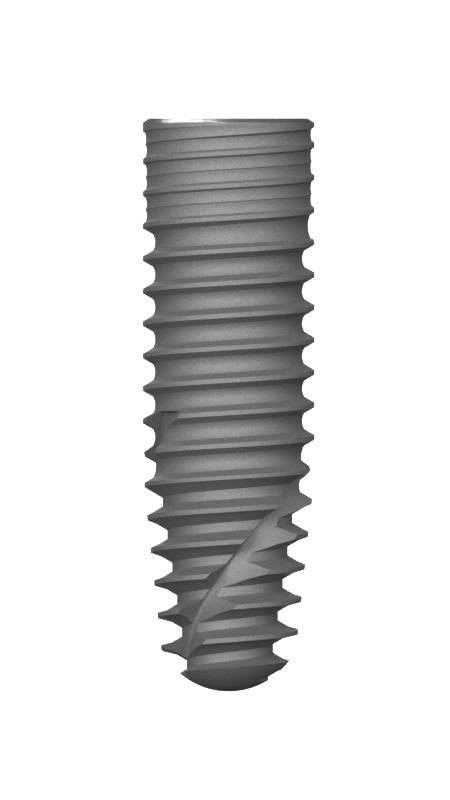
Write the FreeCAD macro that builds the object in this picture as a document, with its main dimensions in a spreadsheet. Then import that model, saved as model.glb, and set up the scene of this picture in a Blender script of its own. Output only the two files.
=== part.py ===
import FreeCAD, Part

import math
import os
from types import SimpleNamespace

import Sketcher

# A screw-shaped dental implant fixture, turned and milled from one titanium bar.
# Millimetres. The fixture stands on its platform: the platform face is z = 0 and the tip points up.
# Angles about the axis are in degrees, counter-clockwise from +X seen from the tip.

NODE = "implant_fixture"

# Name, value, what it measures
DIMENSIONS = [
    ("overall_length", 14.0, "platform face to tip"),
    ("crest_diameter", 4.2, "over the thread crests of the straight part"),
    ("core_diameter", 3.6, "at the root of the main thread, straight part"),
    ("bevel_width", 0.15, "radial width of the platform's outer bevel"),
    ("bevel_height", 0.105, "axial height of the platform's outer bevel"),
    ("dome_radius", 1.83, "ball nose at the tip"),
    ("taper_start", 8.73, "height where the crests begin to taper"),
    ("taper_angle", 6.0, "half angle of the crest cone"),
    ("core_taper_start", 8.17, "height where the core cone meets the straight core"),
    ("core_taper_angle", 8.5, "half angle of the core cone"),
    ("core_blend_start", 8.5, "height where the groove begins to turn from the straight to the tapered form"),
    ("core_blend_length", 0.85, "height over which it turns"),
    ("lead", 0.793, "axial advance in one turn, one start, right hand"),
    ("crest_angle", -116.5, "angle at which the crest line would cross the platform face"),
    ("crest_land", 0.11, "flat on the crest, straight part"),
    ("flank_angle", 30.0, "groove flank against the radial direction"),
    ("root_rise", 0.056, "rise of the hollow root from its middle to the flank"),
    ("fin_land", 0.113, "flat on the crest, tapered part"),
    ("fin_root_flat", 0.22, "flat root of the groove, tapered part"),
    ("fin_knee", 0.28, "height over the root where the flank steepens into a thin fin"),
    ("thread_start", 2.22, "height of the groove's middle where it first touches the crests"),
    ("thread_full", 3.0, "height of the groove's middle where it is full depth"),
    ("collar_depth", 0.092, "depth of the two fine grooves on the collar"),
    ("collar_ridge_rise", 0.02, "rise of their shallow root at the low ridge"),
    ("collar_ridge_offset", 0.14, "root's lowest line to the low ridge between the two grooves"),
    ("collar_ridge_reach", 0.128, "root's lowest line to the flank next to the low ridge"),
    ("collar_crest_reach", 0.1515, "root's lowest line to the flank next to the crest"),
    ("collar_flank_angle", 38.0, "flank of the fine grooves against the radial direction"),
    ("collar_first_start", -0.05, "height of the low ridge where the groove on its tip side begins"),
    ("collar_first_full", 0.26, "height of the low ridge where that groove is full depth"),
    ("collar_second_start", 0.29, "height of the low ridge where the groove on its platform side begins"),
    ("collar_second_full", 0.71, "height of the low ridge where that groove is full depth"),
    ("collar_fade_start", 2.65, "height where both fine grooves begin to run out"),
    ("collar_fade_end", 3.1, "height where they have run out"),
    ("flute_count", 2, "cutting flutes round the axis"),
    ("flute_start", 7.15, "height of the flute's upper end"),
    ("flute_lead", 11.18, "axial advance of a flute in one turn, right hand"),
    ("flute_angle", 160.2, "angle of the first flute's floor normal at its start"),
    ("flute_depth", 0.61, "flute floor below the crest cone"),
    ("flute_wall_offset", 0.2, "cutting wall from the axis plane, at the floor"),
    ("flute_wall_draft", 7.0, "draft of the cutting wall"),
    ("lead_in_diameter", 3.5, "inner edge of the platform"),
    ("lead_in_depth", 0.35, "depth of the conical lead-in"),
    ("lead_in_angle", 45.0, "half angle of the lead-in"),
    ("hex_flats", 2.42, "hexagon socket across flats"),
    ("hex_depth", 1.75, "hexagon socket, from the platform"),
    ("relief_diameter", 2.3, "round bore under the hexagon"),
    ("relief_depth", 2.6, "round bore, from the platform"),
    ("screw_diameter", 1.6, "bore for the M2 abutment screw, at the thread's inner diameter"),
    ("screw_depth", 5.2, "screw bore to the end of its straight wall, from the platform"),
    ("drill_angle", 118.0, "drill point at the end of the screw bore"),
]

# How far a cutter stands beyond the metal, and how finely its path is divided.
CLEAR = 0.05
STATIONS_PER_TURN = 16
FLUTE_STATIONS_PER_TURN = 44

ORIGIN = (-1, 1)
VERTICAL_AXIS = -2
START, END, CENTRE = 1, 2, 3


def make_sheet(doc):
    sheet = doc.addObject("Spreadsheet::Sheet", "Sizes")
    for row, (name, value, meaning) in enumerate(DIMENSIONS, start=1):
        sheet.set(f"A{row}", name)
        sheet.set(f"B{row}", str(value))
        sheet.setAlias(f"B{row}", name)
        sheet.set(f"C{row}", meaning)
    doc.recompute()
    return sheet


def read_sizes(sheet):
    return SimpleNamespace(**{name: float(sheet.get(name)) for name, _, _ in DIMENSIONS})


def tangent(degrees):
    return math.tan(math.radians(degrees))


def mix(a, b, share):
    return a + (b - a) * share


def ramp(z, start, end):
    """0 at start, 1 at end, straight between."""
    return min(1.0, max(0.0, (z - start) / (end - start)))


def ease(z, start, end):
    """0 at start, 1 at end, with a soft beginning and end."""
    share = ramp(z, start, end)
    return share * share * (3 - 2 * share)


def add_sketch(body, name, role):
    plane = next(part for part in body.Origin.OriginFeatures if part.Role == role)
    sketch = body.newObject("Sketcher::SketchObject", name)
    sketch.AttachmentSupport = [(plane, "")]
    sketch.MapMode = "FlatFace"
    return sketch


def add_lines(sketch, corners, closed=True):
    """Lines through the corners, each joined to the next."""
    ends = corners[1:] + corners[:1] if closed else corners[1:]
    for a, b in zip(corners, ends):
        line = Part.LineSegment(FreeCAD.Vector(*a, 0), FreeCAD.Vector(*b, 0))
        sketch.addGeometry(line, False)
    count = len(ends)
    for index in range(count - 1):
        sketch.addConstraint(Sketcher.Constraint("Coincident", index, END, index + 1, START))
    if closed:
        sketch.addConstraint(Sketcher.Constraint("Coincident", count - 1, END, 0, START))


def hold(sketch, name, kind, places, value, expression):
    """A driving constraint that takes its value from the sheet."""
    index = sketch.addConstraint(Sketcher.Constraint(kind, *places, value))
    sketch.renameConstraint(index, name)
    sketch.setExpression(f"Constraints.{name}", expression)


def hold_point(sketch, name, line, end, value, expressions):
    """Places one end of a line by its distances from the axis and from the platform plane."""
    for kind, suffix, number, expression in zip(
        ("DistanceX", "DistanceY"), ("_out", "_up"), value, expressions
    ):
        hold(sketch, name + suffix, kind, (*ORIGIN, line, end), number, expression)


def nose_meeting(size):
    """Height and radius at which the crest cone runs into the ball nose."""
    slope = tangent(size.taper_angle)
    centre = size.overall_length - size.dome_radius
    out = size.crest_diameter / 2 - slope * (centre - size.taper_start)
    flat = 1 + slope * slope
    above = (out * slope + math.sqrt(flat * size.dome_radius**2 - out**2)) / flat
    return centre + above, out - slope * above


def blank_outline(sketch, size):
    """Half section of the turned blank, before its thread, flutes and bore are cut."""
    crest = size.crest_diameter / 2
    meet_up, meet_out = nose_meeting(size)
    corners = [
        (0, 0),
        (crest - size.bevel_width, 0),
        (crest, size.bevel_height),
        (crest, size.taper_start),
        (meet_out, meet_up),
    ]
    add_lines(sketch, corners, closed=False)
    centre = FreeCAD.Vector(0, size.overall_length - size.dome_radius, 0)
    begin = math.atan2(meet_up - centre.y, meet_out)
    circle = Part.Circle(centre, FreeCAD.Vector(0, 0, 1), size.dome_radius)
    nose = sketch.addGeometry(Part.ArcOfCircle(circle, begin, math.pi / 2), False)
    tip = FreeCAD.Vector(0, size.overall_length, 0)
    axis_line = sketch.addGeometry(Part.LineSegment(tip, FreeCAD.Vector(0, 0, 0)), False)
    face, bevel, wall, cone = range(4)
    for first, second in ((cone, nose), (nose, axis_line), (axis_line, face)):
        sketch.addConstraint(Sketcher.Constraint("Coincident", first, END, second, START))
    sketch.addConstraint(Sketcher.Constraint("Coincident", face, START, *ORIGIN))
    sketch.addConstraint(Sketcher.Constraint("Horizontal", face))
    sketch.addConstraint(Sketcher.Constraint("Vertical", wall))
    sketch.addConstraint(Sketcher.Constraint("PointOnObject", nose, CENTRE, VERTICAL_AXIS))
    sketch.addConstraint(Sketcher.Constraint("PointOnObject", nose, END, VERTICAL_AXIS))
    hold(sketch, "platform_edge", "DistanceX", (*ORIGIN, face, END), corners[1][0],
         "Sizes.crest_diameter / 2 - Sizes.bevel_width")
    hold_point(sketch, "bevel", bevel, END, corners[2],
               ("Sizes.crest_diameter / 2", "Sizes.bevel_height"))
    hold(sketch, "taper_up", "DistanceY", (*ORIGIN, wall, END), size.taper_start, "Sizes.taper_start")
    hold(sketch, "taper", "Angle", (cone,), math.radians(90 + size.taper_angle),
         "90 deg + Sizes.taper_angle * 1 deg")
    hold(sketch, "nose", "Radius", (nose,), size.dome_radius, "Sizes.dome_radius")
    hold(sketch, "tip_up", "DistanceY", (*ORIGIN, nose, END), size.overall_length,
         "Sizes.overall_length")


def bore_outline(sketch, size):
    """Half section of the bore: lead-in cone, relief bore, screw bore and drill point."""
    mouth = size.lead_in_diameter / 2
    relief = size.relief_diameter / 2
    screw = size.screw_diameter / 2
    point = screw / tangent(size.drill_angle / 2)
    cone = "Sizes.lead_in_diameter / 2"
    relief_wall = "Sizes.relief_diameter / 2"
    screw_wall = "Sizes.screw_diameter / 2"
    seat = "Sizes.relief_depth + Sizes.relief_diameter / 2 - Sizes.screw_diameter / 2"
    corners = [
        ("mouth", (mouth, 0), (cone, None)),
        ("cone", (mouth - size.lead_in_depth * tangent(size.lead_in_angle), size.lead_in_depth),
         (f"{cone} - Sizes.lead_in_depth * tan(Sizes.lead_in_angle * 1 deg)", "Sizes.lead_in_depth")),
        ("relief", (relief, size.lead_in_depth), (relief_wall, "Sizes.lead_in_depth")),
        ("relief_end", (relief, size.relief_depth), (relief_wall, "Sizes.relief_depth")),
        ("seat", (screw, size.relief_depth + relief - screw), (screw_wall, seat)),
        ("screw_end", (screw, size.screw_depth), (screw_wall, "Sizes.screw_depth")),
        ("point", (0, size.screw_depth + point),
         (None, f"Sizes.screw_depth + {screw_wall} / tan(Sizes.drill_angle / 2 * 1 deg)")),
    ]
    add_lines(sketch, [(0, 0)] + [place for _, place, _ in corners])
    sketch.addConstraint(Sketcher.Constraint("Coincident", 0, START, *ORIGIN))
    sketch.addConstraint(Sketcher.Constraint("Horizontal", 0))
    sketch.addConstraint(Sketcher.Constraint("Vertical", len(corners)))
    for line, (name, (out, up), (out_size, up_size)) in enumerate(corners):
        if out_size:
            hold(sketch, f"{name}_out", "DistanceX", (*ORIGIN, line, END), out, out_size)
        if up_size:
            hold(sketch, f"{name}_up", "DistanceY", (*ORIGIN, line, END), up, up_size)


def hexagon_outline(sketch, size):
    """Regular hexagon on the axis, with a corner on +X."""
    corner = size.hex_flats / 2 / math.cos(math.pi / 6)
    turns = [math.pi / 3 * side for side in range(6)]
    add_lines(sketch, [(corner * math.cos(turn), corner * math.sin(turn)) for turn in turns])
    centre = FreeCAD.Vector(0, 0, 0)
    circle = sketch.addGeometry(Part.Circle(centre, FreeCAD.Vector(0, 0, 1), corner), True)
    sketch.addConstraint(Sketcher.Constraint("Coincident", circle, CENTRE, *ORIGIN))
    for side in range(6):
        sketch.addConstraint(Sketcher.Constraint("PointOnObject", side, START, circle))
        if side:
            sketch.addConstraint(Sketcher.Constraint("Equal", 0, side))
    sketch.addConstraint(Sketcher.Constraint("PointOnObject", 0, START, -1))
    hold(sketch, "corner", "Radius", (circle,), corner, "Sizes.hex_flats / 2 / cos(30 deg)")


def turn_blank(doc, size):
    """The turned blank with its bore and hexagon socket, as one body."""
    body = doc.addObject("PartDesign::Body", "Blank")

    outline = add_sketch(body, "BlankOutline", "XZ_Plane")
    blank_outline(outline, size)
    blank = body.newObject("PartDesign::Revolution", "TurnedBlank")
    blank.Profile = outline
    blank.ReferenceAxis = (outline, ["V_Axis"])
    blank.Angle = 360
    doc.recompute()

    outline = add_sketch(body, "BoreOutline", "XZ_Plane")
    bore_outline(outline, size)
    bore = body.newObject("PartDesign::Groove", "Bore")
    bore.Profile = outline
    bore.ReferenceAxis = (outline, ["V_Axis"])
    bore.Angle = 360
    doc.recompute()

    outline = add_sketch(body, "HexagonOutline", "XY_Plane")
    hexagon_outline(outline, size)
    socket = body.newObject("PartDesign::Pocket", "HexagonSocket")
    socket.Profile = outline
    socket.Length = size.hex_depth
    socket.setExpression("Length", "Sizes.hex_depth")
    socket.Reversed = True
    doc.recompute()

    for before, after in ((blank, bore), (bore, socket)):
        if after.Shape.Volume >= before.Shape.Volume:
            raise RuntimeError(f"{after.Label} removed nothing")
    return body


def polar(radius, degrees, z):
    angle = math.radians(degrees)
    return FreeCAD.Vector(radius * math.cos(angle), radius * math.sin(angle), z)


def stations(start, end, advance, per_turn):
    count = math.ceil((end - start) / advance * per_turn)
    return [mix(start, end, index / count) for index in range(count + 1)]


def cutter_through(sections, heights, per_piece):
    """Solid whose straight-sided section turns and changes along its path.

    Each section lists the same corners. Each corner's path is one smooth curve, cut every
    per_piece stations so that no face winds more than once round the axis.
    """
    paths = []
    for corner in range(len(sections[0])):
        path = Part.BSplineCurve()
        path.interpolate(Points=[section[corner] for section in sections], Parameters=heights)
        paths.append(path)

    faces = []
    marks = list(range(0, len(heights) - per_piece // 2, per_piece)) + [len(heights) - 1]
    for low, high in zip(marks, marks[1:]):
        pieces = [path.copy() for path in paths]
        for piece in pieces:
            piece.segment(heights[low], heights[high])
        knots = pieces[0].getKnots()
        counts = pieces[0].getMultiplicities()
        for one, other in zip(pieces, pieces[1:] + pieces[:1]):
            side = Part.BSplineSurface()
            side.buildFromPolesMultsKnots(
                [one.getPoles(), other.getPoles()],
                [2, 2], counts, [0, 1], knots, False, False, 1, one.Degree,
            )
            faces.append(side.toShape())
    for section in (sections[0], sections[-1]):
        faces.append(Part.Face(Part.makePolygon(section + section[:1])))

    shell = Part.makeShell(faces)
    shell.sewShape()
    solid = Part.Solid(shell)
    if solid.Volume < 0:
        solid.reverse()
    return solid


def crest_radius(size, z):
    return size.crest_diameter / 2 - max(0, z - size.taper_start) * tangent(size.taper_angle)


def groove_angle(size, z):
    """Angle of the groove's middle, half an advance past the crest line, at height z."""
    return size.crest_angle + 360 * (z - size.lead / 2) / size.lead


def thread_section(size, z):
    """Section of the main thread's groove, as (height from its middle, radius) corners.

    On the straight part two plain flanks meet a hollow root of three flats. On the taper the root
    is flat, and over the knee the flanks steepen, which leaves the thin fins that cut into bone.
    """
    core = size.core_diameter / 2
    crest = crest_radius(size, z)
    flank = tangent(size.flank_angle)
    tapered = ease(z, size.core_blend_start, size.core_blend_start + size.core_blend_length)
    cone = core - max(0, z - size.core_taper_start) * tangent(size.core_taper_angle)
    depth = size.crest_diameter / 2 - core
    lift = depth * max(0, (size.thread_full - z) / (size.thread_full - size.thread_start))
    root = mix(core, cone, tapered) + lift
    corner = root + mix(size.root_rise, size.fin_knee, tapered)
    outside = max(crest, corner) + CLEAR

    plain_root = (size.lead - size.crest_land) / 2 - (depth - lift - size.root_rise) * flank
    plain_outside = plain_root + (outside - root - size.root_rise) * flank

    fin_root = size.fin_root_flat / 2
    fin_corner = fin_root + size.fin_knee * flank
    fin_half = (size.lead - size.fin_land) / 2
    fin_height = max(crest - cone, size.fin_knee + CLEAR)
    fin_slope = (fin_half - fin_corner) / (fin_height - size.fin_knee)
    fin_outside = fin_corner + (outside - root - size.fin_knee) * fin_slope

    upper = [
        (mix(plain_root / 3, fin_root, tapered), root + mix(size.root_rise / 9, 0, tapered)),
        (mix(plain_root, fin_corner, tapered), corner),
        (mix(plain_outside, fin_outside, tapered), outside),
    ]
    lower = [(-half, radius) for half, radius in reversed(upper)]
    return upper + lower


def cut_thread(size):
    end = size.overall_length + size.lead / 2
    start = mix(size.thread_start, size.thread_full, -0.15)
    heights = stations(start, end, size.lead, STATIONS_PER_TURN)
    sections = [
        [polar(radius, groove_angle(size, z), z + step) for step, radius in thread_section(size, z)]
        for z in heights
    ]
    return cutter_through(sections, heights, STATIONS_PER_TURN)


def collar_section(size, z, start, full):
    """Section of one fine groove, as (distance from the low ridge, radius) corners."""
    low = size.collar_ridge_offset
    near = size.collar_ridge_reach
    far = size.collar_crest_reach
    above = size.collar_depth + CLEAR / 2
    slope = tangent(size.collar_flank_angle)
    coming_in = 1 - ramp(z, start, full)
    running_out = ramp(z, size.collar_fade_start, size.collar_fade_end)
    root = size.crest_diameter / 2 - size.collar_depth + above * max(coming_in, running_out)

    # Two flats stand for the hollow root, and straight flanks go up from both its sides.
    near_rise = size.collar_ridge_rise * (near / low) ** 2
    far_rise = size.collar_ridge_rise * (far / low) ** 2
    corners = [
        (-near - (above - near_rise) * slope, above),
        (-near, near_rise),
        (0, 0),
        (far, far_rise),
        (far + (above - far_rise) * slope, above),
    ]
    return [(low + step, root + up) for step, up in corners]


def cut_collar_groove(size, side, start, full):
    """One fine groove of the collar, on the tip side (1) or platform side (-1) of the low ridge."""
    heights = stations(start, size.collar_fade_end, size.lead, STATIONS_PER_TURN)
    sections = [
        [
            polar(radius, groove_angle(size, z), z + side * step)
            for step, radius in collar_section(size, z, start, full)
        ]
        for z in heights
    ]
    return cutter_through(sections, heights, STATIONS_PER_TURN)


def flute_section(size, z):
    """Section of a flute, as (along the floor's normal, along the floor) corners.

    A flat floor, parallel to the crest cone, runs out to one side and meets the cutting wall on
    the other.
    """
    floor = size.crest_diameter / 2 - size.flute_depth
    floor -= (z - size.taper_start) * tangent(size.taper_angle)
    wall = size.flute_wall_offset
    beyond = size.crest_diameter / 2 + CLEAR
    draft = tangent(size.flute_wall_draft)
    return [
        (floor, wall),
        (floor, beyond),
        (beyond, beyond),
        (beyond, wall - (beyond - floor) * draft),
    ]


def cut_flute(size):
    end = size.overall_length + CLEAR
    heights = stations(size.flute_start, end, size.flute_lead, FLUTE_STATIONS_PER_TURN)
    sections = []
    for z in heights:
        turn = size.flute_angle + 360 * (z - size.flute_start) / size.flute_lead
        normal = polar(1, turn, 0)
        along = polar(1, turn - 90, 0)
        level = FreeCAD.Vector(0, 0, z)
        sections.append([level + normal * out + along * over for out, over in flute_section(size, z)])
    return cutter_through(sections, heights, FLUTE_STATIONS_PER_TURN)


def add_cutter(doc, name, shape):
    cutter = doc.addObject("Part::Feature", name)
    cutter.Shape = shape
    return cutter


def add_cut(doc, name, base, tool):
    cut = doc.addObject("Part::Cut", name)
    cut.Base = base
    cut.Tool = tool
    cut.Refine = False
    doc.recompute()
    if cut.Shape.Volume >= base.Shape.Volume:
        raise RuntimeError(f"{name} removed nothing")
    return cut


def build():
    doc = FreeCAD.newDocument("ImplantFixture")
    size = read_sizes(make_sheet(doc))
    fixture = turn_blank(doc, size)

    for name, side, start, full in (
        ("First", 1, size.collar_first_start, size.collar_first_full),
        ("Second", -1, size.collar_second_start, size.collar_second_full),
    ):
        cutter = add_cutter(doc, f"CollarCutter{name}", cut_collar_groove(size, side, start, full))
        fixture = add_cut(doc, f"Collar{name}", fixture, cutter)

    fixture = add_cut(doc, "Threaded", fixture, add_cutter(doc, "ThreadCutter", cut_thread(size)))

    flute = cut_flute(size)
    flutes = doc.addObject("Part::Compound", "FluteCutters")
    for index in range(round(size.flute_count)):
        cutter = add_cutter(doc, f"FluteCutter{index + 1}", flute)
        turn = FreeCAD.Rotation(FreeCAD.Vector(0, 0, 1), 360 * index / size.flute_count)
        cutter.Placement = FreeCAD.Placement(FreeCAD.Vector(0, 0, 0), turn)
        flutes.Links += [cutter]
    fixture = add_cut(doc, "Fluted", fixture, flutes)

    fixture.Label = NODE
    doc.recompute()
    return doc, fixture


def check(doc, fixture):
    for item in doc.Objects:
        if "Invalid" in item.State or "Error" in item.State:
            raise RuntimeError(f"{item.Label} failed: {item.State}")
    shape = fixture.Shape
    if shape.isNull() or not shape.isValid() or len(shape.Solids) != 1:
        raise RuntimeError("the fixture is not one valid solid")
    print(f"{fixture.Label}: {shape.Volume:.3f} mm3, {len(shape.Faces)} faces, {shape.BoundBox}")


def main():
    doc, fixture = build()
    check(doc, fixture)
    os.makedirs("parts", exist_ok=True)
    fixture.Shape.exportStep(f"parts/{fixture.Label}.step")


main()
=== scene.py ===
import math

import bpy
from bpy.props import FloatProperty, IntProperty, PointerProperty, StringProperty
from mathutils import Matrix, Vector


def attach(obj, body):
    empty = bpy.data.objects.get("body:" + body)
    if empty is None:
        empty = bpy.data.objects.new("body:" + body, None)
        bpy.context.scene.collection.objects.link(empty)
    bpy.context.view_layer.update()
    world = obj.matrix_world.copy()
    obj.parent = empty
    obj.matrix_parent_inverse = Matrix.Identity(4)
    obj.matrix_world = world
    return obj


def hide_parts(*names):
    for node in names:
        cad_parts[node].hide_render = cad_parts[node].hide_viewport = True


bl_info = {
    "name": "Dental Implant Fixture",
    "version": (1, 0, 0),
    "blender": (4, 5, 0),
    "location": "3D View > Sidebar > Implant",
    "description": "Turns, threads and mills a screw-shaped titanium implant fixture and sets its stage",
    "category": "Object",
}

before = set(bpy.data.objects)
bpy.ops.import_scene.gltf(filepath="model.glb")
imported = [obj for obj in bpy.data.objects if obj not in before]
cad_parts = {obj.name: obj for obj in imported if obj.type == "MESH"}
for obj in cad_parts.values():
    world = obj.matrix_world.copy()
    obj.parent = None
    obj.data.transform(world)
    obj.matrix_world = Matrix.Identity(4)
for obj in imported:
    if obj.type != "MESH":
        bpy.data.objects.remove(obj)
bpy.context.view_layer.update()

NODE = "implant_fixture"
BODY = "root"
PIECE = "titanium_fixture"

MM = 0.001
CLEAR = 0.05 * MM

# How finely the surfaces are divided: round the axis, along a thread and along a flute.
SIDES = 256
THREAD_STATIONS = 144
SCREW_STATIONS = 48
FLUTE_STATIONS = 560
ROOT_STEPS = 8
FLOOR_STEPS = 12
CORNER_STEPS = 6
NOSE_STEPS = 24

# The thread's cutter begins this share of its run-in early, outside the blank.
RUN_UP = 0.15
# Below this rise a root counts as flat.
FLAT_RISE = 0.0001 * MM
# The screw thread's groove at its mouth and at its bottom, half of each, as shares of the pitch.
SCREW_MOUTH = 0.42
SCREW_BOTTOM = 0.06
# Faces that meet at less than this are shaded as one surface.
SMOOTH_BELOW = math.radians(22)
# No higher than the bevel, a face that points down more steeply than this is left bare. The flanks
# of the threads are as steep, so the height has to be asked as well.
STEEP_DOWN = -0.7

# The softboxes: turn from the camera's side towards +X, rise from the floor and width, in degrees,
# and strength. The kicker is the one that the bevel mirrors.
LAMPS = {
    "left_softbox": (30, -12, 30, 0.77),
    "right_softbox": (-30, -12, 30, 0.5),
    "low_softbox": (0, -30, 30, 0.28),
    "side_softbox": (70, 45, 40, 0.05),
    "back_softbox": (180, 0, 30, 0.5),
    "kicker_softbox": (154, -51, 36, 0.32),
}


def length(name, millimetres, description):
    return FloatProperty(
        name=name, description=description, default=millimetres * MM, unit="LENGTH", precision=5
    )


def angle(name, degrees, description):
    return FloatProperty(
        name=name, description=description, default=math.radians(degrees), unit="ROTATION"
    )


def light_level(name, level, description):
    return FloatProperty(name=name, description=description, default=level, min=0.0)


class BlankSizes(bpy.types.PropertyGroup):
    overall_length: length("Length", 14.0, "Platform face to tip")
    crest_diameter: length("Crest diameter", 4.2, "Over the thread crests of the straight part")
    bevel_width: length("Bevel width", 0.15, "Radial width of the platform's outer bevel")
    bevel_height: length("Bevel height", 0.105, "Axial height of the platform's outer bevel")
    dome_radius: length("Nose radius", 1.83, "Ball nose at the tip")
    taper_start: length("Taper start", 8.73, "Height where the crests begin to taper")
    taper_angle: angle("Taper", 6.0, "Half angle of the crest cone")


class ThreadSizes(bpy.types.PropertyGroup):
    core_diameter: length("Core diameter", 3.6, "At the thread root, straight part")
    core_taper_start: length("Core taper start", 8.17, "Height where the core cone meets the core")
    core_taper_angle: angle("Core taper", 8.5, "Half angle of the core cone")
    blend_start: length("Blend start", 8.5, "Height where the groove begins to take its tapered form")
    blend_length: length("Blend length", 0.85, "Height over which it does")
    lead: length("Lead", 0.793, "Axial advance in one turn, one start, right hand")
    crest_angle: angle("Crest angle", -116.5, "Where the crest line would cross the platform face")
    crest_land: length("Crest land", 0.11, "Flat on the crest, straight part")
    flank_angle: angle("Flank angle", 30.0, "Groove flank against the radial direction")
    root_rise: length("Root rise", 0.056, "Rise of the hollow root from its middle to the flank")
    fin_land: length("Fin land", 0.113, "Flat on the crest, tapered part")
    fin_root_flat: length("Fin root", 0.22, "Flat root of the groove, tapered part")
    fin_knee: length("Fin knee", 0.28, "Height over the root where the flank steepens into a fin")
    start: length("Start", 2.22, "Height of the groove's middle where it first touches the crests")
    full: length("Full depth", 3.0, "Height of the groove's middle where it is full depth")


class CollarSizes(bpy.types.PropertyGroup):
    depth: length("Depth", 0.092, "Depth of the two fine grooves")
    ridge_rise: length("Ridge rise", 0.02, "Rise of their shallow root at the low ridge")
    ridge_offset: length("Ridge offset", 0.14, "Root's lowest line to the low ridge between them")
    ridge_reach: length("Ridge reach", 0.128, "Root's lowest line to the flank next to the low ridge")
    crest_reach: length("Crest reach", 0.1515, "Root's lowest line to the flank next to the crest")
    flank_angle: angle("Flank angle", 38.0, "Flank against the radial direction")
    first_start: length("First start", -0.05, "Where the groove on the tip side begins")
    first_full: length("First full depth", 0.26, "Where it is full depth")
    second_start: length("Second start", 0.29, "Where the groove on the platform side begins")
    second_full: length("Second full depth", 0.71, "Where it is full depth")
    fade_start: length("Fade start", 2.65, "Height where both begin to run out")
    fade_end: length("Fade end", 3.1, "Height where they have run out")


class FluteSizes(bpy.types.PropertyGroup):
    count: IntProperty(name="Count", description="Cutting flutes round the axis", default=2, min=1)
    start: length("Start", 7.15, "Height of the flute's upper end")
    lead: length("Lead", 11.18, "Axial advance of a flute in one turn, right hand")
    turn: angle("Angle", 160.2, "Angle of the first flute's floor normal at its start")
    depth: length("Depth", 0.61, "Flute floor below the crest cone")
    wall_offset: length("Wall offset", 0.2, "Cutting wall from the axis plane, at the floor")
    wall_draft: angle("Wall draft", 7.0, "Draft of the cutting wall")
    corner: length("Corner radius", 0.09, "Between the floor and the cutting wall")


class BoreSizes(bpy.types.PropertyGroup):
    mouth_diameter: length("Mouth diameter", 3.5, "Inner edge of the platform")
    mouth_depth: length("Lead-in depth", 0.35, "Depth of the conical lead-in")
    mouth_angle: angle("Lead-in angle", 45.0, "Half angle of the lead-in")
    hexagon_flats: length("Hexagon", 2.42, "Hexagon socket across flats")
    hexagon_depth: length("Hexagon depth", 1.75, "Hexagon socket, from the platform")
    relief_diameter: length("Relief diameter", 2.3, "Round bore under the hexagon")
    relief_depth: length("Relief depth", 2.6, "Round bore, from the platform")
    screw_diameter: length("Screw bore", 1.6, "Inner diameter of the M2 screw thread")
    screw_depth: length("Screw depth", 5.2, "End of the bore's straight wall, from the platform")
    screw_outside: length("Screw thread", 2.0, "Outer diameter of the M2 screw thread")
    screw_pitch: length("Screw pitch", 0.4, "Pitch of the M2 screw thread")
    drill_angle: angle("Drill point", 118.0, "At the end of the screw bore")


class FinishColours(bpy.types.PropertyGroup):
    blasted: StringProperty(
        name="Blasted titanium", description="Colour of the blasted and etched outside",
        default="#8F8F8D",
    )
    machined: StringProperty(
        name="Machined titanium", description="Colour of the bare bevel, platform and socket",
        default="#929292",
    )
    glancing: StringProperty(
        name="Glancing tint", description="Chosen so that the rims are about as dark as in the picture",
        default="#BCBCBC",
    )
    floor: StringProperty(
        name="Floor board", description="Colour of the floor", default="#F2F2F0"
    )
    backdrop: StringProperty(
        name="Backdrop board", description="Colour of the backdrop", default="#FFFFFF"
    )


class StageSettings(bpy.types.PropertyGroup):
    picture_height: length("Picture height", 19.528, "What the camera sees from top to bottom")
    picture_across: length("Picture across", 0.0903, "Middle of the picture from the axis")
    picture_level: length("Picture level", 6.879, "Middle of the picture above the floor")
    camera_distance: length("Camera distance", 300.0, "Camera from the axis")
    backdrop_distance: length("Backdrop distance", 400.0, "Backdrop behind the axis")
    backdrop_size: length("Backdrop size", 80.0, "Side of the square backdrop")
    floor_size: length("Floor size", 700.0, "Side of the square floor")
    floor_glow: light_level("Floor glow", 0.2, "Light of the floor board; 1 is white")
    backdrop_glow: light_level("Backdrop glow", 1.0, "Light of the backdrop board; 1 is white")
    room_front: light_level("Room in front", 0.145, "Light of the room on the camera's side")
    room_behind: light_level("Room behind", 0.01, "Light of the room behind the fixture")


class ImplantSettings(bpy.types.PropertyGroup):
    blank: PointerProperty(type=BlankSizes)
    thread: PointerProperty(type=ThreadSizes)
    collar: PointerProperty(type=CollarSizes)
    flute: PointerProperty(type=FluteSizes)
    bore: PointerProperty(type=BoreSizes)
    colours: PointerProperty(type=FinishColours)
    stage: PointerProperty(type=StageSettings)


def mix(a, b, share):
    return a + (b - a) * share


def ramp(z, start, end):
    """0 at start, 1 at end, straight between."""
    return min(1.0, max(0.0, (z - start) / (end - start)))


def ease(z, start, end):
    """0 at start, 1 at end, with a soft beginning and end."""
    share = ramp(z, start, end)
    return share * share * (3 - 2 * share)


def heights(start, end, advance, per_turn):
    count = math.ceil((end - start) / advance * per_turn)
    return [mix(start, end, index / count) for index in range(count + 1)]


def polar(radius, turn, z):
    return Vector((radius * math.cos(turn), radius * math.sin(turn), z))


def hollow(half, rise, steps):
    """Points of a shallow arc from -half to half that rises by that much at its ends."""
    radius = (half * half + rise * rise) / (2 * rise)
    spread = math.asin(half / radius)
    turns = [mix(-spread, spread, step / steps) for step in range(steps + 1)]
    return [(radius * math.sin(turn), radius - radius * math.cos(turn)) for turn in turns]


def edit_all(piece):
    """Edit mode on that piece alone, with everything selected."""
    bpy.ops.object.select_all(action="DESELECT")
    piece.select_set(True)
    bpy.context.view_layer.objects.active = piece
    bpy.ops.object.mode_set(mode="EDIT")
    bpy.ops.mesh.select_all(action="SELECT")


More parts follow.
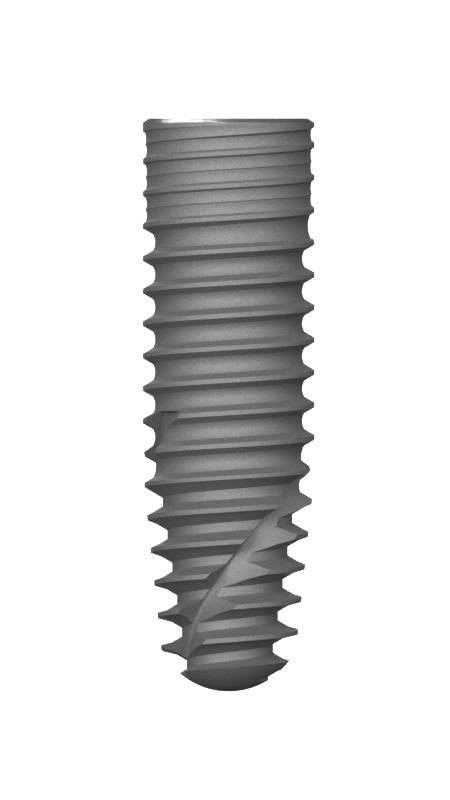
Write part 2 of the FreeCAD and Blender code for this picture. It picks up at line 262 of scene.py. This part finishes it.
def turned(name, outline):
    """A closed solid of revolution about Z through (radius, height) corners, one end to the other.

    A corner on the axis closes that end; otherwise a flat face does.
    """
    bpy.ops.object.select_all(action="DESELECT")
    radius, height = outline[0]
    bpy.ops.mesh.primitive_circle_add(vertices=SIDES, radius=radius, enter_editmode=True)
    piece = bpy.context.object
    piece.name = piece.data.name = name
    bpy.ops.transform.translate(value=(0, 0, height))
    for next_radius, next_height in outline[1:]:
        bpy.ops.mesh.extrude_region_move(
            TRANSFORM_OT_translate={"value": (0, 0, next_height - height)}
        )
        if next_radius > 0:
            share = next_radius / radius
            bpy.ops.transform.resize(value=(share, share, 1), center_override=(0, 0, next_height))
            radius = next_radius
        else:
            bpy.ops.mesh.merge(type="CENTER")
        height = next_height
    bpy.ops.mesh.select_all(action="DESELECT")
    bpy.ops.mesh.select_non_manifold()
    bpy.ops.mesh.edge_face_add()
    bpy.ops.mesh.select_all(action="SELECT")
    bpy.ops.mesh.normals_make_consistent(inside=False)
    bpy.ops.object.mode_set(mode="OBJECT")
    return piece


def strip(name, sections):
    """A closed solid through sections that list the same corners, along a path of its own."""
    corners = len(sections[0])
    points = [point for section in sections for point in section]
    faces = [list(range(corners))]
    for start in range(0, len(points) - corners, corners):
        for corner in range(corners):
            across = (corner + 1) % corners
            faces.append(
                [start + corner, start + corners + corner, start + corners + across, start + across]
            )
    faces.append([len(points) - 1 - corner for corner in range(corners)])
    mesh = bpy.data.meshes.new(name)
    mesh.from_pydata(points, [], faces)
    piece = bpy.data.objects.new(name, mesh)
    bpy.context.collection.objects.link(piece)
    edit_all(piece)
    bpy.ops.mesh.normals_make_consistent(inside=False)
    bpy.ops.object.mode_set(mode="OBJECT")
    return piece


def cut(piece, cutter):
    """Takes the cutter out of the piece, and deletes the cutter."""
    before = len(piece.data.vertices)
    bpy.ops.object.select_all(action="DESELECT")
    bpy.context.view_layer.objects.active = piece
    bpy.ops.object.modifier_add(type="BOOLEAN")
    modifier = piece.modifiers[-1]
    modifier.operation = "DIFFERENCE"
    modifier.solver = "MANIFOLD"
    modifier.object = cutter
    bpy.ops.object.modifier_apply(modifier=modifier.name)
    if len(piece.data.vertices) == before:
        raise RuntimeError(f"{cutter.name} cut nothing")
    bpy.data.meshes.remove(cutter.data)


def crest_radius(blank, z):
    return blank.crest_diameter / 2 - max(0, z - blank.taper_start) * math.tan(blank.taper_angle)


def groove_angle(thread, z):
    """Angle of the groove's middle, half an advance past the crest line, at height z."""
    return thread.crest_angle + math.tau * (z - thread.lead / 2) / thread.lead


def thread_section(blank, thread, z):
    """Section of the thread's groove, as (height from its middle, radius) corners.

    On the straight part two plain flanks meet a hollow root. On the taper the root is flat, and
    over the knee the flanks steepen, which leaves the thin fins that cut into bone.
    """
    core = thread.core_diameter / 2
    crest = crest_radius(blank, z)
    flank = math.tan(thread.flank_angle)
    tapered = ease(z, thread.blend_start, thread.blend_start + thread.blend_length)
    cone = core - max(0, z - thread.core_taper_start) * math.tan(thread.core_taper_angle)
    depth = blank.crest_diameter / 2 - core
    lift = depth * max(0, (thread.full - z) / (thread.full - thread.start))
    root = mix(core, cone, tapered) + lift
    rise = mix(thread.root_rise, 0, tapered)
    knee = min(thread.fin_knee, max(crest - root, rise) + CLEAR / 2)
    outside = max(crest, root + knee) + CLEAR

    plain_root = (thread.lead - thread.crest_land) / 2 - (depth - lift - thread.root_rise) * flank
    plain_knee = plain_root + (knee - thread.root_rise) * flank
    plain_outside = plain_root + (outside - root - thread.root_rise) * flank

    fin_root = thread.fin_root_flat / 2
    fin_corner = fin_root + knee * flank
    fin_half = (thread.lead - thread.fin_land) / 2
    fin_height = max(crest - cone, knee + CLEAR)
    fin_slope = (fin_half - fin_corner) / (fin_height - knee)
    fin_outside = fin_corner + (outside - root - knee) * fin_slope

    half = mix(plain_root, fin_root, tapered)
    arc = hollow(half, max(rise, FLAT_RISE), ROOT_STEPS)
    upper = [
        (mix(plain_knee, fin_corner, tapered), root + knee),
        (mix(plain_outside, fin_outside, tapered), outside),
    ]
    lower = [(-step, radius) for step, radius in reversed(upper)]
    return lower + [(step, root + up) for step, up in arc] + upper


def collar_section(blank, collar, z, start, full):
    """Section of one fine groove, as (distance from the low ridge, radius) corners."""
    low = collar.ridge_offset
    above = collar.depth + CLEAR / 2
    slope = math.tan(collar.flank_angle)
    coming_in = 1 - ramp(z, start, full)
    running_out = ramp(z, collar.fade_start, collar.fade_end)
    root = blank.crest_diameter / 2 - collar.depth + above * max(coming_in, running_out)

    # The shallow root is a parabola; straight flanks go up from both its sides.
    rise = collar.ridge_rise / low**2
    near, far = -collar.ridge_reach, collar.crest_reach
    steps = [mix(near, far, step / ROOT_STEPS) for step in range(ROOT_STEPS + 1)]
    corners = [(near - (above - rise * near**2) * slope, above)]
    corners += [(step, rise * step**2) for step in steps]
    corners += [(far + (above - rise * far**2) * slope, above)]
    return [(low + step, root + up) for step, up in corners]


def flute_section(blank, flute, z):
    """Section of a flute, as (along the floor's normal, along the floor) corners.

    A flat floor, parallel to the crest cone, runs out to one side and meets the cutting wall on
    the other in a small radius.
    """
    floor = blank.crest_diameter / 2 - flute.depth
    floor -= (z - blank.taper_start) * math.tan(blank.taper_angle)
    beyond = blank.crest_diameter / 2 + CLEAR
    draft = math.tan(flute.wall_draft)
    radius = flute.corner
    # The arc touches the floor and the drafted wall.
    end = math.pi * 3 / 2 + flute.wall_draft
    middle = flute.wall_offset + radius * (1 - math.sin(flute.wall_draft)) / math.cos(flute.wall_draft)
    corners = []
    for step in range(CORNER_STEPS + 1):
        turn = mix(math.pi, end, step / CORNER_STEPS)
        corners.append((floor + radius + radius * math.cos(turn), middle + radius * math.sin(turn)))
    across = [(floor, mix(beyond, middle, step / FLOOR_STEPS)) for step in range(FLOOR_STEPS)]
    top = (beyond, flute.wall_offset - (beyond - floor) * draft)
    return across + corners + [top, (beyond, beyond)]


class IMPLANT_OT_turn_blank(bpy.types.Operator):
    """Turn the solid blank: platform, bevel, straight wall, taper and ball nose"""

    bl_idname = "implant.turn_blank"
    bl_label = "Turn Blank"

    def execute(self, context):
        blank = context.scene.implant.blank
        crest = blank.crest_diameter / 2
        slope = math.tan(blank.taper_angle)
        centre = blank.overall_length - blank.dome_radius
        out = crest - slope * (centre - blank.taper_start)
        flat = 1 + slope * slope
        above = (out * slope + math.sqrt(flat * blank.dome_radius**2 - out**2)) / flat
        begin = math.asin(above / blank.dome_radius)
        turns = [mix(begin, math.pi / 2, step / NOSE_STEPS) for step in range(NOSE_STEPS)]
        nose = [
            (blank.dome_radius * math.cos(turn), centre + blank.dome_radius * math.sin(turn))
            for turn in turns
        ]
        turned(PIECE, [
            (crest - blank.bevel_width, 0),
            (crest, blank.bevel_height),
            (crest, blank.taper_start),
            *nose,
            (0, blank.overall_length),
        ])
        return {"FINISHED"}


class IMPLANT_OT_cut_collar(bpy.types.Operator):
    """Cut the two fine grooves that wind round the collar"""

    bl_idname = "implant.cut_collar"
    bl_label = "Cut Collar Grooves"

    def execute(self, context):
        sizes = context.scene.implant
        collar = sizes.collar
        for name, side, start, full in (
            ("first_fine_groove", 1, collar.first_start, collar.first_full),
            ("second_fine_groove", -1, collar.second_start, collar.second_full),
        ):
            sections = [
                [
                    polar(radius, groove_angle(sizes.thread, z), z + side * step)
                    for step, radius in collar_section(sizes.blank, collar, z, start, full)
                ]
                for z in heights(start, collar.fade_end, sizes.thread.lead, THREAD_STATIONS)
            ]
            cut(bpy.data.objects[PIECE], strip(name, sections))
        return {"FINISHED"}


class IMPLANT_OT_cut_thread(bpy.types.Operator):
    """Cut the coarse thread, whose groove comes in over the collar and changes on the taper"""

    bl_idname = "implant.cut_thread"
    bl_label = "Cut Thread"

    def execute(self, context):
        sizes = context.scene.implant
        thread = sizes.thread
        start = mix(thread.start, thread.full, -RUN_UP)
        end = sizes.blank.overall_length + thread.lead / 2
        sections = [
            [
                polar(radius, groove_angle(thread, z), z + step)
                for step, radius in thread_section(sizes.blank, thread, z)
            ]
            for z in heights(start, end, thread.lead, THREAD_STATIONS)
        ]
        cut(bpy.data.objects[PIECE], strip("thread_groove", sections))
        return {"FINISHED"}


class IMPLANT_OT_mill_flutes(bpy.types.Operator):
    """Mill the twisted cutting flutes of the tip"""

    bl_idname = "implant.mill_flutes"
    bl_label = "Mill Flutes"

    def execute(self, context):
        sizes = context.scene.implant
        flute = sizes.flute
        end = sizes.blank.overall_length + CLEAR
        for index in range(flute.count):
            sections = []
            for z in heights(flute.start, end, flute.lead, FLUTE_STATIONS):
                turn = flute.turn + math.tau * ((z - flute.start) / flute.lead + index / flute.count)
                normal = polar(1, turn, 0)
                along = polar(1, turn - math.pi / 2, 0)
                level = Vector((0, 0, z))
                corners = flute_section(sizes.blank, flute, z)
                sections.append([level + normal * out + along * over for out, over in corners])
            cut(bpy.data.objects[PIECE], strip(f"flute_{index + 1}", sections))
        return {"FINISHED"}


class IMPLANT_OT_bore_socket(bpy.types.Operator):
    """Bore the lead-in, relief and screw bore, broach the hexagon and tap the screw thread"""

    bl_idname = "implant.bore_socket"
    bl_label = "Bore Socket"

    def execute(self, context):
        bore = context.scene.implant.bore
        piece = bpy.data.objects[PIECE]
        mouth = bore.mouth_diameter / 2
        cone = mouth - bore.mouth_depth * math.tan(bore.mouth_angle)
        relief = bore.relief_diameter / 2
        screw = bore.screw_diameter / 2
        point = screw / math.tan(bore.drill_angle / 2)
        mouth_slope = (mouth - cone) / bore.mouth_depth
        cut(piece, turned("bore_cutter", [
            (mouth + CLEAR * mouth_slope, -CLEAR),
            (cone, bore.mouth_depth),
            (relief, bore.mouth_depth),
            (relief, bore.relief_depth),
            (screw, bore.relief_depth + relief - screw),
            (screw, bore.screw_depth),
            (0, bore.screw_depth + point),
        ]))

        bpy.ops.object.select_all(action="DESELECT")
        bpy.ops.mesh.primitive_cylinder_add(
            vertices=6,
            radius=bore.hexagon_flats / 2 / math.cos(math.pi / 6),
            depth=bore.hexagon_depth + CLEAR,
            enter_editmode=True,
        )
        bpy.ops.transform.translate(value=(0, 0, (bore.hexagon_depth - CLEAR) / 2))
        bpy.ops.transform.rotate(value=math.pi / 6, orient_axis="Z", center_override=(0, 0, 0))
        bpy.ops.object.mode_set(mode="OBJECT")
        cut(piece, bpy.context.object)

        start = bore.relief_depth + relief - screw
        end = bore.screw_depth - bore.screw_pitch
        outside = bore.screw_outside / 2
        sections = []
        for z in heights(start, end, bore.screw_pitch, SCREW_STATIONS):
            turn = math.tau * z / bore.screw_pitch
            reach = mix(screw, outside, 1 - ramp(z, end - bore.screw_pitch / 2, end))
            sections.append([
                polar(screw - CLEAR, turn, z - bore.screw_pitch * SCREW_MOUTH),
                polar(reach, turn, z - bore.screw_pitch * SCREW_BOTTOM),
                polar(reach, turn, z + bore.screw_pitch * SCREW_BOTTOM),
                polar(screw - CLEAR, turn, z + bore.screw_pitch * SCREW_MOUTH),
            ])
        cut(piece, strip("screw_thread_groove", sections))
        return {"FINISHED"}


def linear(hex_colour):
    """The linear colour of an sRGB hex value."""
    values = [int(hex_colour[place:place + 2], 16) / 255 for place in (1, 3, 5)]
    values = [v / 12.92 if v <= 0.04045 else ((v + 0.055) / 1.055) ** 2.4 for v in values]
    return (*values, 1.0)


def add_node(tree, kind, inputs=None, **settings):
    """One node, whose inputs each take a value or another node's output."""
    node = tree.nodes.new(kind)
    for name, value in settings.items():
        setattr(node, name, value)
    for name, value in (inputs or {}).items():
        if isinstance(value, bpy.types.NodeSocket):
            tree.links.new(value, node.inputs[name])
        else:
            node.inputs[name].default_value = value
    return node


def new_material(name):
    material = bpy.data.materials.new(name)
    material.use_nodes = True
    material.node_tree.nodes.clear()
    return material, material.node_tree


def blasted_titanium(colour, glancing):
    """Grit-blasted and acid-etched titanium: a matte grey that catches light without a sparkle.

    The grit's pits are about 0.05 mm wide and mottle the grey a little. The glancing tint, which is
    fitted to the picture and no measured value of titanium, darkens the rims.
    """
    material, tree = new_material("grit_blasted_titanium")
    place = add_node(tree, "ShaderNodeTexCoord").outputs["Object"]
    grit = add_node(tree, "ShaderNodeTexNoise", {
        "Vector": place, "Scale": 1 / (0.05 * MM), "Detail": 3.0, "Roughness": 0.6,
    })
    shade = add_node(tree, "ShaderNodeValToRGB", {"Fac": grit.outputs["Fac"]})
    base = linear(colour)
    shade.color_ramp.elements[0].position = 0.3
    shade.color_ramp.elements[0].color = (*[v * 0.86 for v in base[:3]], 1)
    shade.color_ramp.elements[1].position = 0.7
    shade.color_ramp.elements[1].color = (*[v * 1.14 for v in base[:3]], 1)
    pits = add_node(tree, "ShaderNodeBump", {
        "Height": grit.outputs["Fac"], "Distance": 0.006 * MM, "Strength": 0.6,
    })
    surface = add_node(tree, "ShaderNodeBsdfPrincipled", {
        "Base Color": shade.outputs["Color"],
        "Metallic": 1.0,
        "Roughness": 0.75,
        "Specular Tint": linear(glancing),
        "Normal": pits.outputs["Normal"],
    })
    add_node(tree, "ShaderNodeOutputMaterial", {"Surface": surface.outputs["BSDF"]})
    return material


def machined_titanium(colour, glancing):
    """Turned and left bare titanium: it mirrors the lamps softly, with fine rings from the tool."""
    material, tree = new_material("turned_bare_titanium")
    place = add_node(tree, "ShaderNodeTexCoord").outputs["Object"]
    rings = add_node(tree, "ShaderNodeTexWave", {
        "Vector": place, "Scale": 1 / (0.3 * MM), "Distortion": 0.4, "Detail": 2.0,
    }, wave_type="RINGS", rings_direction="Z")
    marks = add_node(tree, "ShaderNodeBump", {
        "Height": rings.outputs["Fac"], "Distance": 0.001 * MM, "Strength": 0.4,
    })
    surface = add_node(tree, "ShaderNodeBsdfPrincipled", {
        "Base Color": linear(colour),
        "Metallic": 1.0,
        "Roughness": 0.17,
        "Specular Tint": linear(glancing),
        "Normal": marks.outputs["Normal"],
    })
    add_node(tree, "ShaderNodeOutputMaterial", {"Surface": surface.outputs["BSDF"]})
    return material


class IMPLANT_OT_finish_surface(bpy.types.Operator):
    """Give the fixture its finishes: blasted outside, bare bevel, platform and socket"""

    bl_idname = "implant.finish_surface"
    bl_label = "Finish Surface"

    def execute(self, context):
        sizes = context.scene.implant
        piece = bpy.data.objects[PIECE]
        piece.data.materials.clear()
        colours = sizes.colours
        piece.data.materials.append(blasted_titanium(colours.blasted, colours.glancing))
        piece.data.materials.append(machined_titanium(colours.machined, colours.glancing))
        mouth = sizes.bore.mouth_diameter / 2
        bottom = sizes.bore.screw_depth + sizes.bore.screw_diameter / 2
        for face in piece.data.polygons:
            out = face.center.xy.length
            inside = out < mouth and face.center.z < bottom
            on_bevel = face.normal.z < STEEP_DOWN and face.center.z < sizes.blank.bevel_height
            face.material_index = 1 if inside or on_bevel else 0

        bpy.ops.object.select_all(action="DESELECT")
        piece.select_set(True)
        context.view_layer.objects.active = piece
        bpy.ops.object.shade_smooth_by_angle(angle=SMOOTH_BELOW)
        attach(piece, BODY)
        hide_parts(NODE)
        return {"FINISHED"}


def soft_lamp(name, turn, rise, width, strength):
    """A wide, distant softbox. It turns from the camera's side towards +X and rises from the floor.

    A matte white card that faces a lamp of strength 1 looks white.
    """
    lamp = bpy.data.lights.new(name, "SUN")
    lamp.angle = math.radians(width)
    lamp.energy = math.pi * strength
    # The floor lets a low lamp's light through but hides the lamp from mirrored rays, so that only
    # samples taken towards the lamps may count.
    lamp.cycles.use_multiple_importance_sampling = False
    holder = bpy.data.objects.new(name, lamp)
    bpy.context.collection.objects.link(holder)
    turn, rise = math.radians(turn), math.radians(rise)
    level = math.cos(rise)
    towards = Vector((math.sin(turn) * level, -math.cos(turn) * level, math.sin(rise)))
    holder.rotation_euler = towards.to_track_quat("Z", "Y").to_euler()
    holder.location = towards * 0.2


def lit_board(name, colour, glow):
    """Opal acrylic board, matte white and lit from behind, so it is pale without a lamp on it."""
    material, tree = new_material(name)
    paint = add_node(tree, "ShaderNodeBsdfDiffuse", {"Color": linear(colour)})
    light = add_node(tree, "ShaderNodeEmission", {"Color": linear(colour), "Strength": glow})
    both = add_node(tree, "ShaderNodeAddShader", {
        0: paint.outputs["BSDF"], 1: light.outputs["Emission"],
    })
    add_node(tree, "ShaderNodeOutputMaterial", {"Surface": both.outputs["Shader"]})
    return material


class IMPLANT_OT_set_stage(bpy.types.Operator):
    """Set the floor, the backdrop, the soft lamps and the camera"""

    bl_idname = "implant.set_stage"
    bl_label = "Set Stage"

    def execute(self, context):
        sizes = context.scene.implant
        stage = sizes.stage
        bpy.ops.object.select_all(action="DESELECT")
        bpy.ops.mesh.primitive_plane_add(size=stage.floor_size)
        floor = context.object
        floor.name = "floor"
        floor_board = lit_board("opal_floor_board", sizes.colours.floor, stage.floor_glow)
        floor.data.materials.append(floor_board)
        # The picture hangs the fixture tip down under its lamps, so here their light comes from
        # under the floor, which lets it through.
        floor.visible_shadow = False

        bpy.ops.mesh.primitive_plane_add(
            size=stage.backdrop_size,
            location=(0, stage.backdrop_distance, stage.picture_level),
            rotation=(math.pi / 2, 0, 0),
        )
        backdrop = context.object
        backdrop.name = "backdrop"
        backdrop_board = lit_board(
            "opal_backdrop_board", sizes.colours.backdrop, stage.backdrop_glow
        )
        backdrop.data.materials.append(backdrop_board)
        # The lamp behind the fixture shines past it.
        backdrop.visible_shadow = False

        # The room is grey round the camera and dark behind the fixture, which keeps its rims dark.
        world = bpy.data.worlds.new("studio_air")
        world.use_nodes = True
        tree = world.node_tree
        direction = add_node(tree, "ShaderNodeTexCoord").outputs["Generated"]
        away = add_node(tree, "ShaderNodeSeparateXYZ", {"Vector": direction}).outputs["Y"]
        level = add_node(tree, "ShaderNodeMapRange", {
            "Value": away, "From Min": -0.9, "From Max": 0.2,
            "To Min": stage.room_front, "To Max": stage.room_behind,
        })
        tree.nodes["Background"].inputs["Color"].default_value = linear("#FFFFFF")
        tree.links.new(level.outputs["Result"], tree.nodes["Background"].inputs["Strength"])
        context.scene.world = world

        for name, (turn, rise, width, strength) in LAMPS.items():
            soft_lamp(name, turn, rise, width, strength)

        camera = bpy.data.cameras.new("camera")
        camera.type = "ORTHO"
        camera.ortho_scale = stage.picture_height
        camera.clip_start, camera.clip_end = 0.001, 10
        holder = bpy.data.objects.new("camera", camera)
        context.collection.objects.link(holder)
        # Level, square on, and turned over, because the picture shows the tip at the bottom.
        turned_over = Matrix(((-1, 0, 0), (0, 0, -1), (0, -1, 0)))
        place = Vector((stage.picture_across, -stage.camera_distance, stage.picture_level))
        holder.matrix_world = Matrix.Translation(place) @ turned_over.to_4x4()
        context.scene.camera = holder
        context.scene.view_settings.view_transform = "Standard"
        return {"FINISHED"}


STEPS = (
    IMPLANT_OT_turn_blank,
    IMPLANT_OT_cut_collar,
    IMPLANT_OT_cut_thread,
    IMPLANT_OT_mill_flutes,
    IMPLANT_OT_bore_socket,
    IMPLANT_OT_finish_surface,
    IMPLANT_OT_set_stage,
)


class IMPLANT_PT_steps(bpy.types.Panel):
    """The steps that make the fixture, and the sizes that they use"""

    bl_idname = "IMPLANT_PT_steps"
    bl_label = "Implant Fixture"
    bl_space_type = "VIEW_3D"
    bl_region_type = "UI"
    bl_category = "Implant"

    def draw(self, context):
        layout = self.layout
        settings = context.scene.implant
        for step in STEPS:
            layout.operator(step.bl_idname)
        for group_name in settings.bl_rna.properties.keys():
            group = getattr(settings, group_name)
            if not isinstance(group, bpy.types.PropertyGroup):
                continue
            box = layout.box()
            box.label(text=group_name.capitalize())
            for size_name in group.bl_rna.properties.keys():
                if size_name not in {"rna_type", "name"}:
                    box.prop(group, size_name)


CLASSES = (
    BlankSizes,
    ThreadSizes,
    CollarSizes,
    FluteSizes,
    BoreSizes,
    FinishColours,
    StageSettings,
    ImplantSettings,
    *STEPS,
    IMPLANT_PT_steps,
)


def register():
    for cls in CLASSES:
        bpy.utils.register_class(cls)
    bpy.types.Scene.implant = PointerProperty(type=ImplantSettings)


def unregister():
    del bpy.types.Scene.implant
    for cls in reversed(CLASSES):
        bpy.utils.unregister_class(cls)


def main():
    register()
    bpy.ops.implant.turn_blank()
    bpy.ops.implant.cut_collar()
    bpy.ops.implant.cut_thread()
    bpy.ops.implant.mill_flutes()
    bpy.ops.implant.bore_socket()
    bpy.ops.implant.finish_surface()
    bpy.ops.implant.set_stage()


if __name__ == "__main__":
    main()
